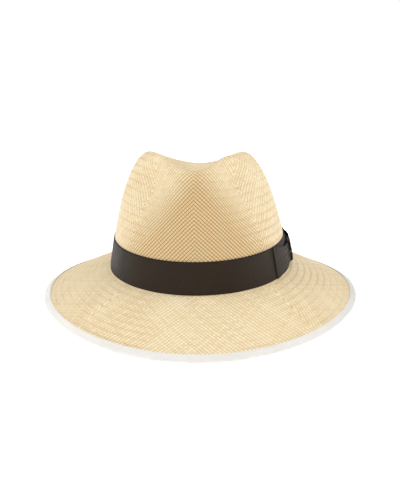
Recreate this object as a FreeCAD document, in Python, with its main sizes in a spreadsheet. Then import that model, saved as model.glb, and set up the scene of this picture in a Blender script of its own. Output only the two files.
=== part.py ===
"""Straw sun hat: a fedora-shaped woven hat with a ribbon hatband, side bow, bound brim and sweatband.

Millimetres.  X points to the wearer's left, -Y is the front of the hat and Z is up.  The origin is the
centre of the head opening, in the plane of the break, where the crown meets the brim.
"""
import FreeCAD, Part
import Sketcher
import os
from math import asin, atan2, cos, degrees, exp, hypot, pi, radians, sin, sqrt
from types import SimpleNamespace

SIZES = [
    # the break, where crown and brim meet (outer face of the straw)
    ("base_half_width", 86.2),
    ("base_half_length", 103.5),
    ("base_roll", 0.9),
    ("base_saddle", 0.6),
    ("break_radius", 2.0),
    ("straw_thickness", 1.3),
    ("layer_clearance", 0.1),
    # the ridge round the top of the crown
    ("ridge_half_width", 44.0),
    ("ridge_front", 73.0),
    ("ridge_back", 67.0),
    ("ridge_height", 112.6),
    ("ridge_fall", 8.2),
    ("front_dip", 15.2),
    ("front_dip_angle", 43.9),
    ("back_dip", 20.5),
    ("back_dip_angle", 62.7),
    ("wall_taper", 0.448),
    ("wall_power", 2.94),
    ("crown_lean", 2.9),
    # the crease inside the ridge and the two pinches at the front
    ("crease_height", 83.0),
    ("crease_offset", 8.0),
    ("pinch_depth", 17.0),
    ("pinch_angle", 43.0),
    ("pinch_spread", 20.0),
    ("pinch_height", 88.0),
    ("pinch_rise", 25.0),
    # the brim
    ("brim_half_width", 151.0),
    ("brim_front", 160.6),
    ("brim_back", 170.4),
    ("brim_corner_trim", 0.003),
    ("brim_drop", 33.0),
    ("brim_drop_swing", 4.6),
    ("droop_power", 1.06),
    # the ribbon folded over the brim's edge, and its two rows of stitching
    ("binding_width", 7.5),
    ("binding_thickness", 0.5),
    ("binding_end_gap", 0.5),
    ("binding_stitch_inset", 1.2),
    ("binding_side_trim", 0.22),
    ("thread_size", 0.3),
    # hatband and side bow
    ("ribbon_bottom", 1.4),
    ("ribbon_top", 30.8),
    ("ribbon_thickness", 0.6),
    ("ribbon_clearance", 0.12),
    ("ribbon_end_gap", 0.5),
    ("bow_angle", -3.0),
    ("front_wing_angle", 30.0),
    ("rear_wing_angle", 30.0),
    ("wing_layer", 0.35),
    ("front_wing_gap", 0.2),
    ("rear_wing_gap", 1.2),
    ("wing_fold", 0.6),
    ("wing_start", 2.0),
    ("wing_bottom", 6.1),
    ("wing_top", 23.2),
    ("front_wing_gather", 0.3),
    ("rear_wing_gather", 0.6),
    ("wing_offset", 1.7),
    ("front_wing_end_offset", 0.9),
    ("rear_wing_lift", 0.6),
    ("knot_height", 19.5),
    ("knot_depth", 3.1),
    ("knot_width", 14.0),
    ("knot_layer", 0.4),
    ("knot_clearance", 0.1),
    ("tack_edge_distance", 2.5),
    ("tack_length", 2.4),
    ("tack_radius", 0.2),
    ("tack_clearance", 0.05),
    # sweatband, reed, tape and their thread
    ("sweat_height", 32.0),
    ("sweat_bottom", 1.6),
    ("sweat_thickness", 1.0),
    ("sweat_base_half_width", 83.9),
    ("sweat_base_half_length", 101.3),
    ("sweat_top_half_width", 77.4),
    ("sweat_top_half_length", 95.0),
    ("sweat_top_shift", -1.3),
    ("sweat_join_gap", 0.6),
    ("reed_radius", 1.0),
    ("reed_height", 0.4),
    ("tape_thickness", 0.25),
    ("tape_height", 2.6),
    ("sweat_stitch_rise", 3.0),
    # back seam tape, size label and back bow
    ("seam_tape_width", 16.0),
    ("seam_tape_low", 8.0),
    ("seam_tape_high", 31.0),
    ("seam_tape_thickness", 0.3),
    ("label_offset", 26.0),
    ("label_width", 24.0),
    ("label_low", 14.0),
    ("label_high", 29.0),
    ("label_thickness", 0.3),
    ("back_bow_length", 34.0),
    ("back_bow_low", 6.4),
    ("back_bow_high", 14.4),
    ("back_bow_gap", 1.0),
    ("back_bow_depth", 2.6),
    ("back_bow_layer", 0.4),
    ("back_knot_width", 6.0),
    ("back_knot_height", 9.3),
    ("back_knot_depth", 3.2),
]

POINTS_AROUND = 48
RIBBON_ROWS = 4

doc = FreeCAD.newDocument("straw_sun_hat")
sheet = doc.addObject("Spreadsheet::Sheet", "Sizes")


def fill_sheet():
    """One row per driving dimension: its name, and its value under an alias of that name."""
    for row, (name, value) in enumerate(SIZES, start=1):
        sheet.set("A%d" % row, name)
        sheet.set("B%d" % row, str(value))
        sheet.setAlias("B%d" % row, name)
    doc.recompute()
    return SimpleNamespace(**{name: float(sheet.get(name)) for name, _ in SIZES})


hat = fill_sheet()
FRONT = -pi / 2
BACK = pi / 2
sub_parts = []


def vector(x, y, z):
    return FreeCAD.Vector(x, y, z)


def angle_between(angle, other):
    """Signed difference of two angles, in the range -pi to pi."""
    return (angle - other + pi) % (2 * pi) - pi


def bell(value, width):
    return exp(-((value / width) ** 2))


# ---------------------------------------------------------------- the shape of the straw

def base_point(angle):
    """The break: an oval, slightly higher on the bow's side, and lower at both sides than at its ends."""
    height = hat.base_roll * cos(angle) - hat.base_saddle * cos(angle) ** 2
    return vector(hat.base_half_width * cos(angle), hat.base_half_length * sin(angle), height)


def ridge_point(angle):
    """The ridge round the top of the crown: high at the sides, dipping at the front and the back."""
    middle = (hat.ridge_back - hat.ridge_front) / 2
    half_length = (hat.ridge_back + hat.ridge_front) / 2
    height = hat.ridge_height - hat.ridge_fall * sin(angle)
    height -= hat.front_dip * bell(angle_between(angle, FRONT), radians(hat.front_dip_angle))
    height -= hat.back_dip * bell(angle_between(angle, BACK), radians(hat.back_dip_angle))
    return vector(hat.ridge_half_width * cos(angle), middle + half_length * sin(angle), height)


def edge_point(angle):
    """The raw edge of the straw brim: an oval with slightly trimmed corners, lowest at front and back."""
    middle = (hat.brim_back - hat.brim_front) / 2
    half_length = (hat.brim_back + hat.brim_front) / 2
    trim = 1 - hat.brim_corner_trim * sin(2 * angle) ** 2
    drop = hat.brim_drop - hat.brim_drop_swing * cos(2 * angle)
    return vector(hat.brim_half_width * cos(angle) * trim, middle + half_length * sin(angle) * trim, -drop)


def pinch_and_lean(angle, point, strength=1):
    """Push the crown in at the two front pinches, and lean it slightly to one side."""
    reach = 0
    for side in (-1, 1):
        centre = FRONT + side * radians(hat.pinch_angle)
        reach += bell(angle_between(angle, centre), radians(hat.pinch_spread))
    push = strength * hat.pinch_depth * reach * bell(point.z - hat.pinch_height, hat.pinch_rise)
    scale = 1 - push / max(hypot(point.x, point.y), 1e-6)
    return vector(point.x * scale - hat.crown_lean * point.z / 100, point.y * scale, point.z)


def wall_point(angle, height_share):
    """The crown's side wall; height_share is 0 at the break and 1 at the ridge."""
    base = base_point(angle)
    ridge = ridge_point(angle)
    bulge = 1 - sqrt(max(0, 1 - max(0, height_share) ** hat.wall_power))
    inward = hat.wall_taper * height_share + (1 - hat.wall_taper) * bulge
    point = base + (ridge - base) * inward
    height = base.z + (ridge.z - base.z) * height_share
    return pinch_and_lean(angle, vector(point.x, point.y, height))


def wall_at_height(angle, height):
    """A point of the wall by its height above the break."""
    return wall_point(angle, height / (ridge_point(angle).z - base_point(angle).z))


def dent_point(angle, share):
    """The top dent; share is 0 at the ridge and 1 at the middle of the crease."""
    ridge = ridge_point(angle)
    floor = vector(0, -hat.crease_offset, hat.crease_height)
    fall = share * share * (3 - 2 * share)
    point = ridge + (floor - ridge) * share
    height = ridge.z + (floor.z - ridge.z) * fall
    return pinch_and_lean(angle, vector(point.x, point.y, height), (1 - share) ** 2)


def brim_point(angle, share):
    """The brim's upper face; share is 0 at the break and 1 at the straw's edge."""
    base = base_point(angle)
    edge = edge_point(angle)
    point = base + (edge - base) * share
    height = edge.z * max(share, 0) ** hat.droop_power + base.z * max(1 - share, 0) ** 2
    return vector(point.x, point.y, height)


def brim_run(angle):
    return (edge_point(angle) - base_point(angle)).Length


def shell_point(angle, station):
    """The straw's outer face.  Station 0 is the crease's middle, 1 the ridge, 2 and 3 the two ends of the
    rounded break, and 4 the straw's edge."""
    if station <= 1:
        return dent_point(angle, 1 - station)
    low_turn = asin(hat.break_radius / ridge_point(angle).z)
    if station <= 2:
        turn = low_turn + (pi / 2 - low_turn) * (2 - station)
        return wall_point(angle, sin(turn))
    start_share = hat.break_radius / brim_run(angle)
    if station < 3:
        share = station - 2
        above = wall_point(angle, sin(low_turn))
        beyond = brim_point(angle, start_share)
        corner = base_point(angle)
        return above * (1 - share) ** 2 + corner * (2 * share * (1 - share)) + beyond * share ** 2
    return brim_point(angle, start_share + (1 - start_share) * (station - 3))


def shell_offset(angle, station, distance):
    """A point a distance outside the straw's outer face, or inside it when the distance is negative."""
    step = 1e-3
    across = shell_point(angle + step, station) - shell_point(angle - step, station)
    along = shell_point(angle, station + step) - shell_point(angle, station - step)
    normal = along.cross(across).normalize()
    return shell_point(angle, station) + normal * distance


def wall_offset(angle, height, distance):
    """The same for the crown's wall, by height above the break."""
    step = 1e-3
    across = wall_at_height(angle + step, height) - wall_at_height(angle - step, height)
    along = wall_at_height(angle, height - step) - wall_at_height(angle, height + step)
    normal = along.cross(across).normalize()
    return wall_at_height(angle, height) + normal * distance


def brim_edge_offset(angle, outward, lift):
    """A point by its distance beyond the straw's edge and above the brim's upper face."""
    station = 4 + outward / (brim_run(angle) - hat.break_radius)
    return shell_offset(angle, station, lift)


# ---------------------------------------------------------------- surfaces and solids from points

def spline_through(points, closed):
    """A cubic curve through points, with evenly spaced parameters."""
    curve = Part.BSplineCurve()
    count = len(points) + (1 if closed else 0)
    curve.interpolate(Points=points, PeriodicFlag=closed, Parameters=list(range(count)))
    return curve


def skin_face(loops):
    """One smooth face through closed loops that all have the same number of points."""
    around = [spline_through(loop, True) for loop in loops]
    columns = [spline_through(list(column), False) for column in zip(*[c.getPoles() for c in around])]
    poles = [column.getPoles() for column in columns]
    surface = Part.BSplineSurface()
    surface.buildFromPolesMultsKnots(
        poles, around[0].getMultiplicities(), columns[0].getMultiplicities(),
        around[0].getKnots(), columns[0].getKnots(), True, False, 3, 3)
    return surface.toShape(), around


def solid_from_faces(faces):
    shell = Part.Shell(Part.Compound(faces).Faces)
    shell.sewShape()
    solid = Part.Solid(shell)
    if solid.Volume < 0:
        solid.reverse()
    return solid


def strip_solid(outer_rows, inner_rows, closed=False):
    """A thin strip between two rows of lengthwise lines, each line a list of points."""
    outer = [spline_through(row, closed).toShape() for row in outer_rows]
    inner = [spline_through(row, closed).toShape() for row in inner_rows]
    lines = outer + inner[::-1]
    faces = [Part.makeRuledSurface(one, two) for one, two in zip(lines, lines[1:] + lines[:1])]
    if not closed:
        for end in (0, -1):
            for first in range(len(outer_rows) - 1):
                near = Part.makeLine(outer_rows[first][end], outer_rows[first + 1][end])
                far = Part.makeLine(inner_rows[first][end], inner_rows[first + 1][end])
                faces.append(Part.makeRuledSurface(near, far))
    return solid_from_faces(faces)


def spread(start, stop, count):
    """Evenly spaced numbers from start to stop, both included."""
    return [start + (stop - start) * i / (count - 1) for i in range(count)]


def all_round():
    return [2 * pi * i / POINTS_AROUND for i in range(POINTS_AROUND)]


def add_feature(name, shape):
    feature = doc.addObject("Part::Feature", name)
    feature.Shape = shape
    feature.Label = name
    feature.Placement = FreeCAD.Placement()
    sub_parts.append(feature)
    return feature


def bind(item, **expressions):
    for prop, expression in expressions.items():
        item.setExpression(prop.replace("__", "."), expression)


# ---------------------------------------------------------------- straw body

def straw_stations():
    """Where the straw's loops lie, from the crease's middle to the brim's edge."""
    dent = spread(0.08, 1, 9)
    wall = spread(1, 2, 15)[1:]
    turn = [2.5, 3]
    brim = spread(3, 4, 7)[1:]
    return dent + wall + turn + brim


def make_straw_body():
    loops = {}
    for depth in (0, hat.straw_thickness):
        loops[depth] = []
        for station in straw_stations():
            loops[depth].append([shell_offset(angle, station, -depth) for angle in all_round()])
        innermost = loops[depth][0]
        level = sum(point.z for point in innermost) / len(innermost)
        for point in innermost:
            point.z = level
    top_face, top_curves = skin_face(loops[0])
    under_face, under_curves = skin_face(loops[hat.straw_thickness])
    edge = Part.makeRuledSurface(top_curves[-1].toShape(), under_curves[-1].toShape())
    faces = [top_face, under_face, edge]
    faces += [Part.Face(Part.Wire(curves[0].toShape())) for curves in (top_curves, under_curves)]
    add_feature("straw_body", solid_from_faces(faces))


# ---------------------------------------------------------------- brim binding

def binding_profile(lift):
    """The folded ribbon's section, from its top edge round the straw's edge to its lower edge, as pairs of
    distance beyond the straw's edge and height over its upper face."""
    under = -hat.straw_thickness - lift
    nose = hat.layer_clearance + lift
    inner_edge = -hat.binding_width
    return [
        (inner_edge, lift), (inner_edge / 2, lift), (0, lift), (nose, -hat.straw_thickness / 2),
        (0, under), (inner_edge / 2, under), (inner_edge, under)]


def binding_share(angle, outward):
    """The binding covers a little less of the brim at the hat's two sides than at its front and back."""
    return 1 - hat.binding_side_trim * cos(angle) ** 2 if outward < 0 else 1


def rows_round_edge(profile, angles):
    rows = []
    for outward, lift in profile:
        row = [brim_edge_offset(angle, outward * binding_share(angle, outward), lift) for angle in angles]
        rows.append(row)
    return rows


def make_brim_binding():
    """The binding runs all round and its ends meet at the back, where they are sewn edge to edge."""
    half_gap = hat.binding_end_gap / 2 / hat.brim_half_width
    angles = spread(BACK + half_gap, BACK + 2 * pi - half_gap, POINTS_AROUND + 1)
    inner = rows_round_edge(binding_profile(hat.layer_clearance), angles)
    outer = rows_round_edge(binding_profile(hat.layer_clearance + hat.binding_thickness), angles)
    add_feature("brim_binding", strip_solid(outer, inner))


def make_binding_thread():
    """One thread line above the brim and one below, each close to the binding's inner edge."""
    near = hat.binding_stitch_inset - hat.binding_width
    far = near + hat.thread_size
    low = 2 * hat.layer_clearance + hat.binding_thickness
    high = low + hat.thread_size
    threads = []
    for sign, face in ((1, 0), (-1, -hat.straw_thickness)):
        outer = rows_round_edge([(near, face + sign * high), (far, face + sign * high)], all_round())
        inner = rows_round_edge([(near, face + sign * low), (far, face + sign * low)], all_round())
        threads.append(strip_solid(outer, inner, closed=True))
    add_feature("binding_thread", Part.Compound(threads))


# ---------------------------------------------------------------- hatband and bow

def ribbon_rows(angles, offsets, spans):
    """Lengthwise lines on the crown's wall.  offsets gives each angle's distance from the wall, and spans its
    lowest and highest points."""
    rows = []
    for share in spread(0, 1, RIBBON_ROWS):
        heights = [low + (high - low) * share for low, high in spans]
        rows.append([wall_offset(*place) for place in zip(angles, heights, offsets)])
    return rows


def make_hatband_ribbon():
    """The ribbon's two ends meet under the bow's knot."""
    centre = radians(hat.bow_angle)
    half_gap = hat.ribbon_end_gap / 2 / hat.base_half_length
    angles = spread(centre + half_gap, centre + 2 * pi - half_gap, POINTS_AROUND + 1)
    spans = [(hat.ribbon_bottom, hat.ribbon_top)] * len(angles)
    inner = ribbon_rows(angles, [hat.ribbon_clearance] * len(angles), spans)
    outer = ribbon_rows(angles, [hat.ribbon_clearance + hat.ribbon_thickness] * len(angles), spans)
    add_feature("hatband_ribbon", strip_solid(outer, inner))


def wing_span(share, gather):
    """A wing's lowest and highest points: gathered by the knot up to a share of its length, then widening."""
    open_share = min(max((share - gather) / (1 - gather), 0), 1)
    widening = open_share ** 2 * (3 - 2 * open_share)
    low = hat.wing_bottom + (hat.ribbon_bottom - hat.wing_bottom) * widening
    high = hat.wing_top + (hat.ribbon_top - hat.wing_top) * widening
    return low, high


def wing_layer(ends, shares, rise, spans, low, high):
    """The part of a wing between two depths, low and high, over the given shares of its length."""
    near, far = ends
    angles = [near + (far - near) * share for share in shares]
    inner = ribbon_rows(angles, [rise(share) + low for share in shares], spans)
    outer = ribbon_rows(angles, [rise(share) + high for share in shares], spans)
    return strip_solid(outer, inner)


def wing_solid(side, wing_angle, gather, gap, end_offset, end_lift):
    """A flat ribbon loop: two layers joined at the far end and open at the knot."""
    centre = radians(hat.bow_angle)
    ends = (centre + side * hat.wing_start / hat.base_half_length, centre + side * radians(wing_angle))
    length = hat.base_half_length * abs(ends[1] - ends[0])

    def rise(share):
        return hat.wing_offset + (end_offset - hat.wing_offset) * share + end_lift * share ** 2

    shares = spread(0, 1, 13)
    spans = [wing_span(share, gather) for share in shares]
    block = wing_layer(ends, shares, rise, spans, 0, gap + 2 * hat.wing_layer)
    beyond = hat.wing_start / length
    slot_shares = spread(-beyond, 1 - hat.wing_fold / length, 9)
    tall_spans = [(hat.ribbon_bottom - hat.wing_layer, hat.ribbon_top + hat.wing_layer)] * len(slot_shares)
    return block.cut(wing_layer(ends, slot_shares, rise, tall_spans, hat.wing_layer, hat.wing_layer + gap))


def make_bow_wings():
    """The front wing lies down on the hatband, and the rear one stands a little off the crown."""
    front = wing_solid(-1, hat.front_wing_angle, hat.front_wing_gather, hat.front_wing_gap,
                       hat.front_wing_end_offset, 0)
    rear = wing_solid(1, hat.rear_wing_angle, hat.rear_wing_gather, hat.rear_wing_gap,
                      hat.wing_offset, hat.rear_wing_lift)
    add_feature("bow_front_wing", front)
    add_feature("bow_rear_wing", rear)


# ---------------------------------------------------------------- PartDesign helpers

def new_body(name):
    body = doc.addObject("PartDesign::Body", name)
    body.Label = name
    sub_parts.append(body)
    return body


def new_sketch(body, plane):
    sketch = body.newObject("Sketcher::SketchObject", body.Name + "_sketch")
    origin = [item for item in body.Origin.OriginFeatures if item.Role == plane][0]
    sketch.AttachmentSupport = [(origin, "")]
    sketch.MapMode = "FlatFace"
    return sketch


def add_polygon(sketch, corners):
    """Closed outline of straight lines; gives back the number of its first line."""
    first = sketch.GeometryCount
    count = len(corners)
    for i in range(count):
        start, stop = corners[i], corners[(i + 1) % count]
        sketch.addGeometry(Part.LineSegment(vector(*start, 0), vector(*stop, 0)), False)
    for i in range(count):
        sketch.addConstraint(Sketcher.Constraint("Coincident", first + i, 2, first + (i + 1) % count, 1))
    return first


def add_distance(sketch, name, direction, near, far, value, rule):
    """A named distance between two line ends, bound to the sheet."""
    number = sketch.addConstraint(Sketcher.Constraint(direction, *near, *far, value))
    sketch.renameConstraint(number, name)
    sketch.setExpression("Constraints." + name, rule)


def add_rectangle(sketch, name, width, height, width_rule, height_rule):
    """A rectangle centred on the sketch's origin, its two sizes bound to the sheet."""
    x, y = width / 2, height / 2
    first = add_polygon(sketch, [(-x, -y), (x, -y), (x, y), (-x, y)])
    for line, direction in ((0, "Horizontal"), (1, "Vertical"), (2, "Horizontal"), (3, "Vertical")):
        sketch.addConstraint(Sketcher.Constraint(direction, first + line))
    sketch.addConstraint(Sketcher.Constraint("Symmetric", first, 1, first + 1, 2, -1, 1))
    add_distance(sketch, name + "_width", "DistanceX", (first, 1), (first, 2), width, width_rule)
    add_distance(sketch, name + "_height", "DistanceY", (first + 1, 1), (first + 1, 2), height, height_rule)


def add_ring_profile(sketch, width_name, height_name, layer_name):
    """Two rectangles, one a ribbon's thickness outside the other; the names are the sheet's."""
    width, height, layer = (getattr(hat, name) for name in (width_name, height_name, layer_name))
    for label, layers in (("inside", 0), ("outside", 2)):
        rule = "Sizes.%s + %d * Sizes.%s"
        rules = [rule % (name, layers, layer_name) for name in (width_name, height_name)]
        add_rectangle(sketch, label, width + layers * layer, height + layers * layer, *rules)


def add_pad(body, sketch, length_rule):
    pad = body.newObject("PartDesign::Pad", body.Name + "_pad")
    pad.Profile = sketch
    pad.Midplane = True
    pad.setExpression("Length", length_rule)
    body.Tip = pad
    return pad


def place(item, position, axis=(0, 0, 1), turn=0):
    item.Placement = FreeCAD.Placement(vector(*position), FreeCAD.Rotation(vector(*axis), turn))


def wall_upward(angle, height, distance):
    """The upward direction along the wall at a height above the break."""
    return (wall_offset(angle, height + 1, distance) - wall_offset(angle, height - 1, distance)).normalize()


def make_bow_knot():
    """A short ribbon wrapped round the wings: a flat ring, open towards the front and the back."""
    body = new_body("bow_knot")
    sketch = new_sketch(body, "XZ_Plane")
    add_ring_profile(sketch, "knot_depth", "knot_height", "knot_layer")
    add_pad(body, sketch, "Sizes.knot_width")
    angle = radians(hat.bow_angle)
    height = (hat.wing_bottom + hat.wing_top) / 2
    inner_face = hat.ribbon_clearance + hat.ribbon_thickness + hat.knot_clearance
    distance = inner_face + hat.knot_layer + hat.knot_depth / 2
    up = wall_upward(angle, height, distance)
    backward = vector(-sin(angle) / hat.base_half_length, cos(angle) / hat.base_half_width, 0)
    turn = FreeCAD.Rotation(backward.cross(up), backward, up, "ZYX")
    body.Placement = FreeCAD.Placement(wall_offset(angle, height, distance), turn)


def make_hatband_tacks():
    """Six small stitches that hold the ribbon's upper and lower edges to the straw."""
    tacks = []
    for number, degrees in enumerate((100, 160, 220, 280, 320, 60)):
        inset = hat.tack_edge_distance
        height = hat.ribbon_top - inset if number % 2 else hat.ribbon_bottom + inset
        angle = radians(degrees)
        distance = hat.ribbon_clearance + hat.ribbon_thickness + hat.tack_radius + hat.tack_clearance
        centre = wall_offset(angle, height, distance)
        up = wall_upward(angle, height, distance)
        tack = doc.addObject("Part::Cylinder", "tack_%d" % (number + 1))
        bind(tack, Radius="Sizes.tack_radius", Height="Sizes.tack_length")
        start = centre - up * (hat.tack_length / 2)
        tack.Placement = FreeCAD.Placement(start, FreeCAD.Rotation(vector(0, 0, 1), up))
        tacks.append(tack)
    group = doc.addObject("Part::Compound", "hatband_tacks")
    group.Links = tacks
    group.Label = "hatband_tacks"
    sub_parts.append(group)


# ---------------------------------------------------------------- sweatband

def add_oval(name, half_length, half_width, height, shift="0"):
    """A level ellipse, longer from front to back."""
    oval = doc.addObject("Part::Ellipse", name)
    place(oval, (0, 0, 0), turn=90)
    bind(oval, MajorRadius=half_length, MinorRadius=half_width, Placement__Base__z=height,
         Placement__Base__y=shift, Placement__Base__x="-Sizes.crown_lean * (%s) / 100" % height)
    return oval


def add_loft(name, sections):
    loft = doc.addObject("Part::Loft", name)
    loft.Sections = sections
    loft.Solid = True
    loft.Ruled = True
    return loft


def add_cut(name, base, tool):
    cut = doc.addObject("Part::Cut", name)
    cut.Base = base
    cut.Tool = tool
    cut.Label = name
    return cut


def sweat_oval(name, depth, height):
    """The sweatband's oval at a height, a depth inside its outer face."""
    share = "((%s) - Sizes.sweat_bottom) / Sizes.sweat_height" % height
    length = ("Sizes.sweat_base_half_length + (Sizes.sweat_top_half_length"
              " - Sizes.sweat_base_half_length) * (%s) - (%s)" % (share, depth))
    width = ("Sizes.sweat_base_half_width + (Sizes.sweat_top_half_width"
             " - Sizes.sweat_base_half_width) * (%s) - (%s)" % (share, depth))
    return add_oval(name, length, width, height, "Sizes.sweat_top_shift * (%s)" % share)


def oval_shell(name, depth, thickness, low, high):
    """A thin wall that follows the sweatband's slope, between two heights."""
    lofts = []
    for label, inset in (("outside", depth), ("inside", "(%s) + (%s)" % (depth, thickness))):
        ovals = [sweat_oval("%s_%s_low" % (name, label), inset, low),
                 sweat_oval("%s_%s_high" % (name, label), inset, high)]
        lofts.append(add_loft("%s_%s" % (name, label), ovals))
    return add_cut(name + "_wall", *lofts)


def make_sweatband():
    """The leather band; its two ends meet at the middle of the back."""
    top = "Sizes.sweat_bottom + Sizes.sweat_height"
    wall = oval_shell("sweat", "0", "Sizes.sweat_thickness", "Sizes.sweat_bottom", top)
    slot = doc.addObject("Part::Box", "sweatband_join")
    bind(slot, Length="Sizes.sweat_join_gap", Width="Sizes.sweat_base_half_length",
         Height="3 * Sizes.sweat_height", Placement__Base__x="-Sizes.sweat_join_gap / 2",
         Placement__Base__z="-Sizes.sweat_height")
    sub_parts.append(add_cut("sweatband", wall, slot))


def make_reed_tape():
    """The cloth welt between the straw and the sweatband, which is sewn to both."""
    low = "Sizes.sweat_bottom"
    tape = oval_shell("tape", "-Sizes.layer_clearance - Sizes.tape_thickness", "Sizes.tape_thickness", low,
                      "Sizes.sweat_bottom + Sizes.tape_height")
    tape.Label = "reed_tape"
    sub_parts.append(tape)


def make_reed():
    """A round cord along the sweatband's lower edge."""
    path = sweat_oval("reed_path", "Sizes.reed_radius", "Sizes.reed_height")
    ring = doc.addObject("Part::Circle", "reed_section")
    place(ring, (0, 0, 0), (1, 0, 0), 90)
    bind(ring, Radius="Sizes.reed_radius",
         Placement__Base__x="reed_path.MinorRadius + reed_path.Placement.Base.x",
         Placement__Base__y="reed_path.Placement.Base.y", Placement__Base__z="Sizes.reed_height")
    reed = doc.addObject("Part::Sweep", "sweatband_reed")
    reed.Sections = [ring]
    reed.Spine = (path, ["Edge1"])
    reed.Solid = True
    reed.Frenet = True
    reed.Label = "sweatband_reed"
    sub_parts.append(reed)


def make_sweatband_thread():
    """The thread line on the leather's face, just above its lower edge."""
    low = "Sizes.sweat_bottom + Sizes.sweat_stitch_rise"
    thread = oval_shell("thread", "Sizes.sweat_thickness + Sizes.layer_clearance", "Sizes.thread_size", low,
                        low + " + Sizes.thread_size")
    thread.Label = "sweatband_thread"
    sub_parts.append(thread)


# ---------------------------------------------------------------- pieces at the back of the sweatband

def back_slice(name, wall, width, centre="0"):
    """The part of a thin wall that lies at the back of the hat, between two planes a width apart."""
    block = doc.addObject("Part::Box", name + "_block")
    bind(block, Length=width, Width="2 * Sizes.base_half_length", Height="4 * Sizes.sweat_height",
         Placement__Base__x="(%s) - (%s) / 2" % (centre, width), Placement__Base__z="-Sizes.sweat_height")
    piece = doc.addObject("Part::MultiCommon", name)
    piece.Shapes = [wall, block]
    piece.Label = name
    return piece


def make_back_seam_tape():
    """The strip behind the sweatband's join, between the leather and the straw."""
    wall = oval_shell("seam_tape", "-Sizes.layer_clearance - Sizes.seam_tape_thickness",
                      "Sizes.seam_tape_thickness",
                      "Sizes.seam_tape_low", "Sizes.seam_tape_high")
    sub_parts.append(back_slice("back_seam_tape", wall, "Sizes.seam_tape_width"))


def make_size_label():
    """A blank cloth tag on the sweatband's face, to one side of the join."""
    wall = oval_shell("label", "Sizes.sweat_thickness + Sizes.layer_clearance", "Sizes.label_thickness",
                      "Sizes.label_low", "Sizes.label_high")
    sub_parts.append(back_slice("size_label", wall, "Sizes.label_width", "Sizes.label_offset"))


def make_back_bow_loops():
    """Two flat ribbon loops in one length, open at top and bottom, that follow the sweatband's curve."""
    depth = "Sizes.sweat_thickness + Sizes.back_bow_gap"
    layer = "Sizes.back_bow_layer"
    outside = oval_shell("loops", depth, "Sizes.back_bow_depth", "Sizes.back_bow_low", "Sizes.back_bow_high")
    inside = oval_shell("space", depth + " + " + layer, "Sizes.back_bow_depth - 2 * " + layer,
                        "Sizes.back_bow_low - " + layer, "Sizes.back_bow_high + " + layer)
    block = back_slice("loops_outside", outside, "Sizes.back_bow_length")
    space = back_slice("loops_inside", inside, "Sizes.back_bow_length - 2 * " + layer)
    sub_parts.append(add_cut("back_bow_loops", block, space))


def make_back_bow_knot():
    """A narrow ribbon wrapped round the middle of the loops, at the same slope as the leather."""
    body = new_body("back_bow_knot")
    sketch = new_sketch(body, "YZ_Plane")
    add_ring_profile(sketch, "back_knot_depth", "back_knot_height", "back_bow_layer")
    add_pad(body, sketch, "Sizes.back_knot_width")
    height = (hat.back_bow_low + hat.back_bow_high) / 2
    share = (height - hat.sweat_bottom) / hat.sweat_height
    run_in = hat.sweat_base_half_length - hat.sweat_top_half_length - hat.sweat_top_shift
    face_y = hat.sweat_base_half_length - run_in * share - hat.sweat_thickness
    centre_y = face_y - hat.back_bow_gap - hat.back_bow_depth / 2
    place(body, (0, centre_y, height), (1, 0, 0), degrees(atan2(run_in, hat.sweat_height)))


# ---------------------------------------------------------------- build, check and export

def check_document():
    doc.recompute()
    for item in doc.Objects:
        if "Invalid" in item.State or "Error" in item.State:
            raise RuntimeError("%s did not compute: %s" % (item.Name, item.State))
    for item in sub_parts:
        if item.Shape.isNull() or not item.Shape.isValid():
            raise RuntimeError("%s has no valid shape" % item.Label)
        if not item.Shape.Solids:
            raise RuntimeError("%s holds no solid" % item.Label)


def export_parts():
    os.makedirs("parts", exist_ok=True)
    for item in sub_parts:
        item.Shape.exportStep("parts/%s.step" % item.Label)
        box = item.Shape.BoundBox
        print("%-18s %8.2f cm3  %d solid(s)  z %.1f to %.1f" % (
            item.Label, item.Shape.Volume / 1000, len(item.Shape.Solids), box.ZMin, box.ZMax))


make_straw_body()
make_brim_binding()
make_binding_thread()
make_hatband_ribbon()
make_bow_wings()
make_bow_knot()
make_hatband_tacks()
make_sweatband()
make_reed_tape()
make_reed()
make_sweatband_thread()
make_back_seam_tape()
make_size_label()
make_back_bow_loops()
make_back_bow_knot()
check_document()
export_parts()
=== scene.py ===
"""Looks of the straw sun hat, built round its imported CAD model.

Metres.  X points to the wearer's left, where the bow is, -Y is the front of the hat and Z is up.  The origin
is the centre of the head opening, in the plane of the break, where the crown meets the brim.
"""

from math import atan2, cos, pi, radians, sin

import bmesh
import bpy
import numpy as np
from mathutils import Matrix, Vector


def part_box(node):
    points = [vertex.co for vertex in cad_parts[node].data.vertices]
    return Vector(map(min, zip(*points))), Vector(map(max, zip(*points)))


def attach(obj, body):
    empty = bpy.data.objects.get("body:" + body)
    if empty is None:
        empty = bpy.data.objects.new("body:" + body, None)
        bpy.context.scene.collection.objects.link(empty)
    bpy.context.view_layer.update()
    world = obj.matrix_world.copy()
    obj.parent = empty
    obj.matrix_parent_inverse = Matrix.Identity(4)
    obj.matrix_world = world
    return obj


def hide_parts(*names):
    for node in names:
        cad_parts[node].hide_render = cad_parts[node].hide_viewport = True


MM = 0.001
FRONT = -pi / 2
BACK = pi / 2
ANGLE_STEP = 0.001

# ---------------------------------------------------------------- the straw's shape, as in the CAD model

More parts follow.
